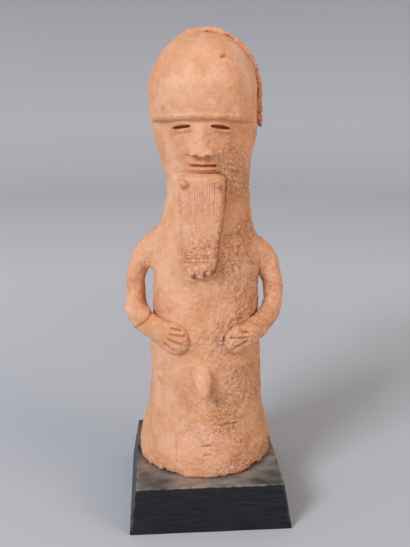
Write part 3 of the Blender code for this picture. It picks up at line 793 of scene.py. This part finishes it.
def build_beard():
    """A combed board of clay from the chin to the chest.

    Each level is an oblong with rounded corners, its back inside the neck. Upright grooves are a cosine of
    the distance across, fading to the beard's right edge and downwards. Bands and notches are cut as bells,
    and the lowest levels are drawn down to the outline of the locks.
    """
    height, half_width, front, shift = through(BEARD_PROFILE, BEARD_ROWS)[::-1].T[:, :, None]
    t = np.linspace(0, 1, BEARD_COLUMNS, endpoint=False)
    turns = (0, 0.64, 0.80, 0.86, 1)
    across = np.interp(t, turns, (-1, 1, 1, -1, -1))
    forward = np.interp(t, turns, (1, 1, 0, 0, 1))
    corner = np.abs(across) ** 16 * forward**8
    x = shift + half_width * across * (1 - 0.05 * corner)
    right_edge = ease(across, -0.55, -1)
    falls_in = 2.2 * across**2 + 2.6 * corner + 6 * right_edge**1.5
    depth = BEARD_BACK + (front - BEARD_BACK) * forward - falls_in * forward
    ends = np.interp(x, *np.transpose(BEARD_END))
    low = height[0]
    drawn = np.clip((BEARD_END_FROM - height) / (BEARD_END_FROM - low), 0, 1)
    level = height + drawn * (ends - low)
    grid = points_at(x, -depth, level)
    normal = normals(grid)
    facing = ease(forward, 0.9, 1)
    wander = 0.3 * waves(grid * (0.6, 0, 1), 30, 41)
    combed = 0.5 - 0.5 * np.cos(2 * np.pi * ((x - shift) * 26.5 / half_width + wander) / BEARD_COMB_PITCH)
    worn = 0.5 + 0.5 * ease(height, 338, 388)
    extent = worn * ease(height, 322, 326) * ease(height, 417, 410) * ease(x - shift, -24, -15) * facing
    patchy = 0.45 + 0.55 * ease(waves(grid * (1, 1, 0.4), 8, 42), -1.6, 0.6)
    extent = extent * ease(across, 0.98, 0.92) * patchy
    relief = -BEARD_COMB_DEPTH * combed * extent
    # Painted shade in the comb's grooves, and below in the bands, the notches between the locks and the pits
    painted_shade = 0.3 * combed * extent
    for band in BEARD_BANDS:
        sag = level - band + 0.0035 * (x + 8) ** 2
        cut = hump(sag, BEARD_BAND_WIDTH) * facing * ease(x, -30, -26) * ease(x, 9, 4)
        relief = relief - BEARD_BAND_DEPTH * cut
        painted_shade = np.maximum(painted_shade, 0.4 * cut)
    for notch, length in LOCK_NOTCHES:
        top = np.interp(notch, *np.transpose(BEARD_END)) + length
        cut = hump(x - notch, LOCK_NOTCH_WIDTH) * ease(level, top, LOCKS_FROM) * facing
        relief = relief - LOCK_NOTCH_DEPTH * cut
        painted_shade = np.maximum(painted_shade, 0.6 * cut)
    rough = np.clip(0.35 + 0.5 * ease(height, 360, 325) + 0.5 * ease(across, 0.6, 1), 0, 1) + 0 * x
    lumps, pitted = clay_relief(grid, rough)
    relief = relief + 0.6 * lumps + 0.25 * rough * waves(grid, 4, 43)
    grid = turn_head(grid + normal * relief[..., None])
    painted_shade = np.clip(painted_shade + 0.6 * pitted, 0, 1)
    # Its front above the bands is made a little paler
    return clay_piece("clay_beard", grid, painted_shade, rough, bloom_and_highlight=0.08 * facing * ease(height, 330, 350))


def build_knot(name, centre):
    """A knot at the beard's corner, with a thumbed dent on its outer side.

    A ball: circles whose radius is the sine and whose height is the cosine of the way up.
    """
    middle = turn_head(np.array(centre, float))
    way = np.linspace(np.pi - 0.06, 0.06, KNOT_RINGS)[:, None]
    around = np.linspace(0, 2 * np.pi, KNOT_SIDES, endpoint=False)
    ball = points_at(np.sin(way) * np.cos(around), np.sin(way) * np.sin(around), np.cos(way))
    grid = middle + ball * KNOT_RADIUS
    dent = hump(np.linalg.norm(grid - middle - KNOT_DENT, axis=-1), KNOT_DENT_RADIUS)
    relief = 0.5 * waves(grid, 9, 51) + 0.25 * waves(grid, 3.5, 52) - KNOT_DENT_DEPTH * dent
    # Painted shade in the thumbed dent
    return clay_piece(name, grid + normals(grid) * relief[..., None], 0.6 * dent, 0.5)


def build_boss(run):
    """A blunt cone that points down and out: circles carried along a bent path, pitted at its end."""
    grid = limb_grid(run, BOSS_SIDES, 0.93)
    normal = normals(grid)
    grid, _ = fillet(grid, normal, lambda at: limb_distance(at, run), body_distance, boss_reach)
    tip = ease(grid[..., 2], 140, 130)
    pits = ease(pecks(grid, 3.6, 61), 0.40, 0.15) * tip
    waist = hump(grid[..., 2] - 137.5, 2.5) * ease(grid[..., 0], 4, -8)
    relief = 0.3 * waves(grid, 14, 62) - 0.8 * pits - 0.7 * waist
    # Painted shade in the pits at its end, and a faint painted highlight over the whole boss
    return clay_piece("clay_boss", grid + normal * relief[..., None], 0.6 * pits, 0.2, 0.03)


def build_hair_roll():
    """A flattened roll over the head from ear to ear, chipped, and parted from the dome by a crack."""
    turn = np.linspace(-HAIR_REACH, HAIR_REACH, HAIR_RINGS)
    angle = np.radians(turn)
    outward = np.column_stack([np.sin(angle), 0 * angle, np.cos(angle)])
    rise = np.sign(np.cos(angle)) * np.abs(np.cos(angle)) ** HAIR_SQUARENESS
    ends_in = 1 - HAIR_END_DRAWN_IN * ease(np.abs(turn), HAIR_END_FROM, HAIR_REACH)
    path = np.column_stack([
        HAIR_HALF_SPAN * np.sin(angle) * ends_in,
        HAIR_BACK + HAIR_SIDE_BACK * np.sin(angle) ** 2,
        HAIR_MIDDLE_HEIGHT + HAIR_RISE * rise,
    ])
    thick = HAIR_HALF_THICKNESS + 0.5 * np.sin(angle * 9)
    around = np.linspace(2 * np.pi, 0, HAIR_SIDES, endpoint=False)
    closed = closing(np.abs(turn), HAIR_CLOSES_FROM, HAIR_REACH, 0.03)
    half_sizes = np.column_stack([0 * turn + HAIR_HALF_WIDTH, thick]) * closed[:, None]
    path = turn_head(path)
    grid = ovals(path, *beside(path, outward), half_sizes, HAIR_SIDES)
    normal = normals(grid)
    bites = ease(waves(grid * (1, 0.3, 1), 15, 65), 1.0, 2.0)
    groove = hump(np.cos(around) + 0.35, 0.16) * (np.sin(around) > 0)
    on_right = ease(turn, -12, -35)[:, None]
    beside_ear = ease(turn, 44, 62)[:, None]
    nibbled = beside_ear * ease(waves(grid, 5.0, 71), 0.3, 1.2)
    crest = hump(turn - HAIR_CREST_ANGLE, 7)[:, None]
    relief = 0.3 * waves(grid, 20, 66) + 0.18 * waves(grid, 7, 67) - bites - 1.3 * groove - 1.2 * on_right
    relief += HAIR_CREST_RISE * crest - 1.2 * nibbled
    crack = line_cut(grid - (0, 20, 0), HAIR_CRACK, HAIR_CRACK_WIDTH)
    relief -= HAIR_CRACK_DEPTH * crack
    # Painted shade in the groove, the crack and the nibbled edge beside the ear
    painted_shade = np.clip(0.6 * groove + crack + 0.6 * nibbled, 0, 1)
    return clay_piece("clay_hair_roll", grid + normal * relief[..., None], painted_shade, 0.5)


def build_ear(name, middle_turn):
    """A C of rolled clay, open to the front: circles carried along an arc laid on the head.

    A groove runs along its outer face, and its rim is nibbled.
    """
    angle = np.radians(np.linspace(EAR_OPENING, 360 - EAR_OPENING, EAR_RINGS))
    half_width = profile_at(EAR_HEIGHT)[0]
    turns = abs(middle_turn) - np.degrees(EAR_HALF_WIDTH * np.cos(angle) / half_width)
    heights = EAR_HEIGHT + EAR_HALF_HEIGHT * np.sin(angle)
    path = skin(math.copysign(1, middle_turn) * turns, heights, EAR_RISE)
    outward = path * (1, 1, 0)
    along = np.abs(np.linspace(-1, 1, EAR_RINGS))
    radius = EAR_RADIUS * closing(along, 0.5, 1) * (1 - 0.4 * ease(along, 0.3, 0.9))
    around = np.linspace(2 * np.pi, 0, EAR_SIDES, endpoint=False)
    grid = ovals(path, *beside(path, outward), np.stack([radius, radius], -1), EAR_SIDES)
    groove = hump(np.sin(around) - 1, 0.12) + 0 * radius[:, None]
    nibbled = ease(waves(grid, 5.0, 68), 0.2, 1.2)
    relief = 0.4 * waves(grid, 14, 69) - 0.7 * nibbled - 2.2 * groove - 0.8
    # Painted shade in the groove and the nibbles
    painted_shade = np.clip(0.9 * groove + 0.4 * nibbled, 0, 1)
    return clay_piece(name, grid + normals(grid) * relief[..., None], painted_shade, 0.6)


def plinth_section(half_foot, height):
    """Half widths and heights of the plinth's rings: out under it, up its side and in over its top.

    Its edges are the sine and cosine of a quarter turn.
    """
    half_head = half_foot - PLINTH_FLARE
    quarter = np.radians(np.linspace(8, 82, 6))
    curve_out, curve_up = PLINTH_EDGE * (1 - np.sin(quarter)), PLINTH_EDGE * (1 - np.cos(quarter))
    out, along = np.linspace(0.02, 1, PLINTH_TOP_RINGS), np.linspace(0, 1, 40)
    under = out[:PLINTH_UNDER_RINGS] / out[PLINTH_UNDER_RINGS - 1]
    half_side = np.concatenate([
        under * (half_foot - PLINTH_EDGE),
        half_foot - curve_out,
        half_foot - PLINTH_FLARE * along,
        half_head - curve_out[::-1],
        out[::-1] * (half_head - PLINTH_EDGE),
    ])
    level = np.concatenate([
        np.zeros(PLINTH_UNDER_RINGS),
        curve_up,
        PLINTH_SIDE_FROM + (height - 2 * PLINTH_SIDE_FROM) * along,
        height - curve_up[::-1],
        np.full(PLINTH_TOP_RINGS, height),
    ])
    return half_side, level


def rounded_squares(half_side):
    """Squares of these half widths, whose corners are drawn back to a small radius unless they are tiny."""
    share = np.linspace(-1, 1, PLINTH_COLUMNS // 4, endpoint=False)
    one = np.ones_like(share)
    sides = ((share, -one), (one, share), (-share, one), (-one, -share))
    sharp = half_side * np.concatenate([np.stack(side, -1) for side in sides])
    core = np.clip(sharp, -half_side + PLINTH_CORNER, half_side - PLINTH_CORNER)
    off = sharp - core
    length = np.maximum(np.linalg.norm(off, axis=-1, keepdims=True), 1e-6)
    return np.where(half_side > 2 * PLINTH_CORNER, core + off * np.minimum(1, PLINTH_CORNER / length), sharp)


def build_plinth():
    """The square block: rings of a rounded square from the middle of its underside to the middle of its top.

    Its edges are rubbed round and nicked. worn, from 0 to 1, is where the paint turns a paler grey-brown:
    along the rubbed edges, in smears, and on the top towards its front and right and in a ring about the
    figure's foot.
    """
    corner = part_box("plinth")[1]
    half_foot, height = corner.x / MM, corner.z / MM
    half_side, level = plinth_section(half_foot, height)
    flat = rounded_squares(half_side[:, None, None])
    grid = points_at(*np.moveaxis(flat, -1, 0), level[:, None])
    half_width = half_foot - PLINTH_FLARE * grid[..., 2] / height
    least, most = np.moveaxis(np.sort(np.abs(grid[..., :2]), -1), -1, 0)
    near_top_edge = hump(np.hypot(half_width - most, height - grid[..., 2]), 1.5)
    near_upright_edge = hump(half_width - least, 1.8)
    edge = np.clip(near_top_edge + 0.8 * near_upright_edge, 0, 1)
    nicks = edge * ease(waves(grid, 9, 81), 1.2, 2.2)
    relief = 0.08 * waves(grid, 60, 82) - 0.35 * nicks
    on_top = ease(grid[..., 2], height - 1.2, height - 0.2)
    from_axis = np.hypot(grid[..., 0], grid[..., 1] - SET_BACK)
    ring = hump(from_axis - PLINTH_PALE_RING, 9)
    towards_front = ease(-grid[..., 1], -20, 80)
    towards_right = ease(grid[..., 0], -95, -35)
    smears = 0.09 * waves(grid * (1, 0.6, 1), 60, 83) + 0.06 * waves(grid * (0.4, 1, 1), 14, 84)
    worn = on_top * (0.12 + 0.26 * towards_front + 0.14 * towards_right + 0.22 * ring + 1.3 * smears)
    worn += edge * (0.1 + 0.14 * waves(grid, 14, 85))
    finished = grid + normals(grid) * relief[..., None] * (level > 0)[:, None, None]
    finished[..., 2] = np.maximum(finished[..., 2], 0)
    points = np.vstack([finished.reshape(-1, 3), (0, 0, 0), (0, 0, height)]) * MM
    shape = grid.shape[:2]
    made = closed_piece("painted_plinth", points, shape, "black_painted_wood", worn=np.clip(worn, 0, 1))
    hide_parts("plinth")
    made.data.materials.append(black_painted_wood())


def linear(hex_colour):
    """An sRGB hex colour as linear red, green, blue and alpha."""
    parts = [int(hex_colour[at : at + 2], 16) / 255 for at in (1, 3, 5)]
    return [part / 12.92 if part <= 0.04045 else ((part + 0.055) / 1.055) ** 2.4 for part in parts] + [1]


def give(tree, node, inputs):
    """Gives inputs of a node, by name or number, a number, an sRGB hex colour or a link from an output."""
    for name, value in inputs:
        if isinstance(value, bpy.types.NodeSocket):
            tree.links.new(value, node.inputs[name])
        else:
            node.inputs[name].default_value = linear(value) if isinstance(value, str) else value
    return node


def add(tree, kind, inputs=(), **settings):
    """Adds a node to a tree, with its settings and what its inputs are given."""
    node = tree.nodes.new(kind)
    for name, value in settings.items():
        setattr(node, name, value)
    return give(tree, node, inputs)


def spread(tree, value, from_low, from_high, to_low=0.0, to_high=1.0):
    """A value stretched so that one range becomes another, clipped at its ends."""
    ends = [("From Min", from_low), ("From Max", from_high), ("To Min", to_low), ("To Max", to_high)]
    return add(tree, "ShaderNodeMapRange", [("Value", value), *ends]).outputs["Result"]


def cloudy(tree, where, size, detail, low, high):
    """A cloudy pattern of that size in millimetres, stretched so that low is 0 and high is 1."""
    scale = 1 / (size * MM)
    inputs = [("Vector", where), ("Scale", scale), ("Detail", detail), ("Roughness", 0.6)]
    return spread(tree, add(tree, "ShaderNodeTexNoise", inputs).outputs["Fac"], low, high)


def times(tree, first, second):
    """The product of a socket and another socket or a number."""
    return add(tree, "ShaderNodeMath", [(0, first), (1, second)], operation="MULTIPLY").outputs["Value"]


def laid_over(tree, base, over, share):
    """A colour laid over a base by a share, each a hex colour or a socket."""
    inputs = [("Factor", share), (6, base), (7, over)]
    return add(tree, "ShaderNodeMix", inputs, data_type="RGBA").outputs[2]


def bump(tree, height, strength, distance, *more):
    """Normals of a surface raised by as much as a distance in millimetres."""
    inputs = [("Height", height), ("Strength", strength), ("Distance", distance * MM), *more]
    return add(tree, "ShaderNodeBump", inputs).outputs["Normal"]


def read(tree, label):
    """The numbers that a piece's points were given under a label."""
    return add(tree, "ShaderNodeAttribute", attribute_name=label).outputs["Fac"]


def new_material(name):
    """A new material, with its node tree, its shader, and the Object coordinates that its patterns lie on."""
    material = bpy.data.materials.new(name)
    material.use_nodes = True
    tree = material.node_tree
    where = add(tree, "ShaderNodeTexCoord").outputs["Object"]
    return material, tree, tree.nodes["Principled BSDF"], where


def terracotta():
    """Low-fired earthenware, coil built, smoothed by hand and unglazed.

    Matt and dry, salmon where the air reached it in the fire, with painted shade in the hollows and creases,
    a pale whitening of salts on what stands out, a faint painted highlight on the boss, and grit of 1 to 3 mm
    in the clay.
    """
    material, tree, shader, where = new_material("terracotta_hand_smoothed")
    painted_shade, rough, bloom_and_highlight = (read(tree, label) for label in ("painted_shade", "rough", "bloom_and_highlight"))

    def clouds(size, detail, low, high):
        return cloudy(tree, where, size, detail, low, high)

    colour = CLAY
    for over, *cloud, share in CLAY_CLOUDS:
        colour = laid_over(tree, colour, over, times(tree, clouds(*cloud), share))
    for over, *cloud, share in ROUGH_CLOUDS:
        colour = laid_over(tree, colour, over, times(tree, times(tree, clouds(*cloud), rough), share))
    # Painted shade in the recesses and creases, then whitening by salts and a faint painted highlight on the
    # boss
    colour = laid_over(tree, laid_over(tree, colour, PAINTED_SHADE_COLOUR, painted_shade), BLOOM_AND_HIGHLIGHT_COLOUR, bloom_and_highlight)
    # A stipple where the skin is rough, and a fine dry grain all over
    stipple = bump(tree, times(tree, clouds(4.6, 3, 0.32, 0.68), rough), 1.0, 2.1)
    grain = bump(tree, clouds(1.9, 4, 0.25, 0.75), 0.9, 0.8, ("Normal", stipple))
    sheen = [("Roughness", 0.88), ("Specular IOR Level", 0.25)]
    give(tree, shader, [("Base Color", colour), *sheen, ("Normal", grain)])
    return material


def black_painted_wood():
    """A wooden block under brushed black paint.

    Satin and blue-black, with the brush's faint level streaks. Where it is rubbed, dusty grey-brown wood and
    filler show through, and specks of dust lie on it.
    """
    material, tree, shader, where = new_material("black_painted_wood_worn")
    # The brush went level round the block, so its streaks are stretched that way
    brushed = add(tree, "ShaderNodeMapping", [("Vector", where), ("Scale", (0.07, 0.07, 1))])
    streaks = cloudy(tree, brushed.outputs["Vector"], 2.6, 4, 0.36, 0.74)
    scuffs = cloudy(tree, where, 16, 8, 0.3, 0.7)
    dust = cloudy(tree, where, 2.2, 2, 0.68, 0.8)
    paint = laid_over(tree, "#0C0E12", "#262B32", times(tree, streaks, 0.8))
    paint = laid_over(tree, paint, "#5B5A59", times(tree, dust, 0.5))
    # The rubbed share is broken up by scuffs, and browner in some clouds than in others
    rubbed = times(tree, read(tree, "worn"), spread(tree, scuffs, 0, 1, 0.7, 1.25))
    bare = laid_over(tree, "#B59A86", "#9C9790", cloudy(tree, where, 90, 2, 0.42, 0.58))
    colour = laid_over(tree, paint, bare, rubbed)
    sheen = [("Roughness", spread(tree, rubbed, 0, 1, 0.42, 0.8)), ("Specular IOR Level", 0.3)]
    give(tree, shader, [("Base Color", colour), *sheen, ("Normal", bump(tree, streaks, 0.35, 0.3))])
    return material


def backdrop_paper():
    """Matt grey paper, whose tone changes from near the figure to far off and to high up: painted shade near
    it and high up, painted light far off.
    """
    material, tree, shader, where = new_material("backdrop_paper")
    away = add(tree, "ShaderNodeVectorMath", [("Vector", where)], operation="LENGTH").outputs["Value"]
    height = add(tree, "ShaderNodeSeparateXYZ", [("Vector", where)]).outputs["Z"]
    tone = laid_over(tree, BACKDROP_NEAR, BACKDROP_FAR, spread(tree, away, *BACKDROP_CHANGE))
    tone = laid_over(tree, tone, BACKDROP_HIGH, spread(tree, height, *BACKDROP_CHANGE))
    give(tree, shader, [("Base Color", tone), ("Roughness", 0.9)])
    return material


def studio_backdrop():
    """A pale floor that bends up into a round wall: a line, a quarter circle and a line, turned."""
    bend = np.radians(np.linspace(0, 90, 25))
    curve = BACKDROP_FLOOR + BACKDROP_BEND * np.sin(bend)
    radius = np.concatenate([[0.01], curve, [BACKDROP_FLOOR + BACKDROP_BEND]])
    height = np.concatenate([[0], BACKDROP_BEND * (1 - np.cos(bend)), [BACKDROP_TOP]])
    turn = np.linspace(0, 2 * np.pi, BACKDROP_TURNS, endpoint=False)
    grid = points_at(radius[:, None] * np.cos(turn), radius[:, None] * np.sin(turn), height[:, None])
    open_ended = closed_faces(len(radius), BACKDROP_TURNS)[: -2 * BACKDROP_TURNS]
    backdrop = mesh_object("studio_backdrop", grid.reshape(-1, 3), open_ended)
    backdrop.data.materials.append(backdrop_paper())


def area_light(name, place_at, aim, size, power, colour):
    """A square soft light at a place, aimed at a point."""
    light = bpy.data.lights.new(name, "AREA")
    light.shape = "SQUARE"
    light.size = size
    light.energy = power
    light.color = linear(colour)[:3]
    made = new_object(name, light)
    made.location = place_at
    direction = Vector(aim) - Vector(place_at)
    made.rotation_euler = direction.to_track_quat("-Z", "Y").to_euler()


def studio():
    """Backdrop, a large cool light high on the viewer's left, a weak warm one on the right, the camera."""
    studio_backdrop()
    for light in LIGHTS:
        area_light(*light)
    world = bpy.data.worlds.new("studio_air")
    world.use_nodes = True
    air = world.node_tree.nodes["Background"].inputs
    air["Color"].default_value = linear(AIR_COLOUR)
    air["Strength"].default_value = AIR_STRENGTH
    bpy.context.scene.world = world
    bpy.context.scene.view_settings.view_transform = "Standard"
    lens = bpy.data.cameras.new("camera")
    lens.sensor_width = 36
    lens.lens = 18 / math.tan(math.radians(CAMERA_VIEW / 2))
    lens.clip_start = 0.05
    camera = new_object("camera", lens)
    camera.location = CAMERA_PLACE
    camera.rotation_euler = (math.radians(90 - CAMERA_DOWN), 0, math.radians(CAMERA_YAW))
    bpy.context.scene.camera = camera


def main():
    """Makes every piece of clay, the painted plinth and the studio."""
    right_arm, left_arm = limb(RIGHT_ARM, ARM_RINGS), limb(LEFT_ARM, ARM_RINGS)
    boss = limb(BOSS, BOSS_RINGS)
    body = build_body((right_arm, left_arm), boss)
    clay = [
        body,
        build_arm("clay_right_arm", right_arm, RIGHT_HAND_CUTS),
        build_arm("clay_left_arm", left_arm, LEFT_HAND_CUTS),
        build_beard(),
        build_boss(boss),
        build_hair_roll(),
        *(build_ear("clay_" + name, turn) for name, turn in EAR_TURNS),
        *(build_knot(f"clay_beard_knot_{number}", centre) for number, centre in enumerate(BEARD_KNOTS)),
    ]
    fired = terracotta()
    for piece in clay:
        piece.data.materials.append(fired)
    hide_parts("terracotta_figure")
    build_plinth()
    studio()


main()
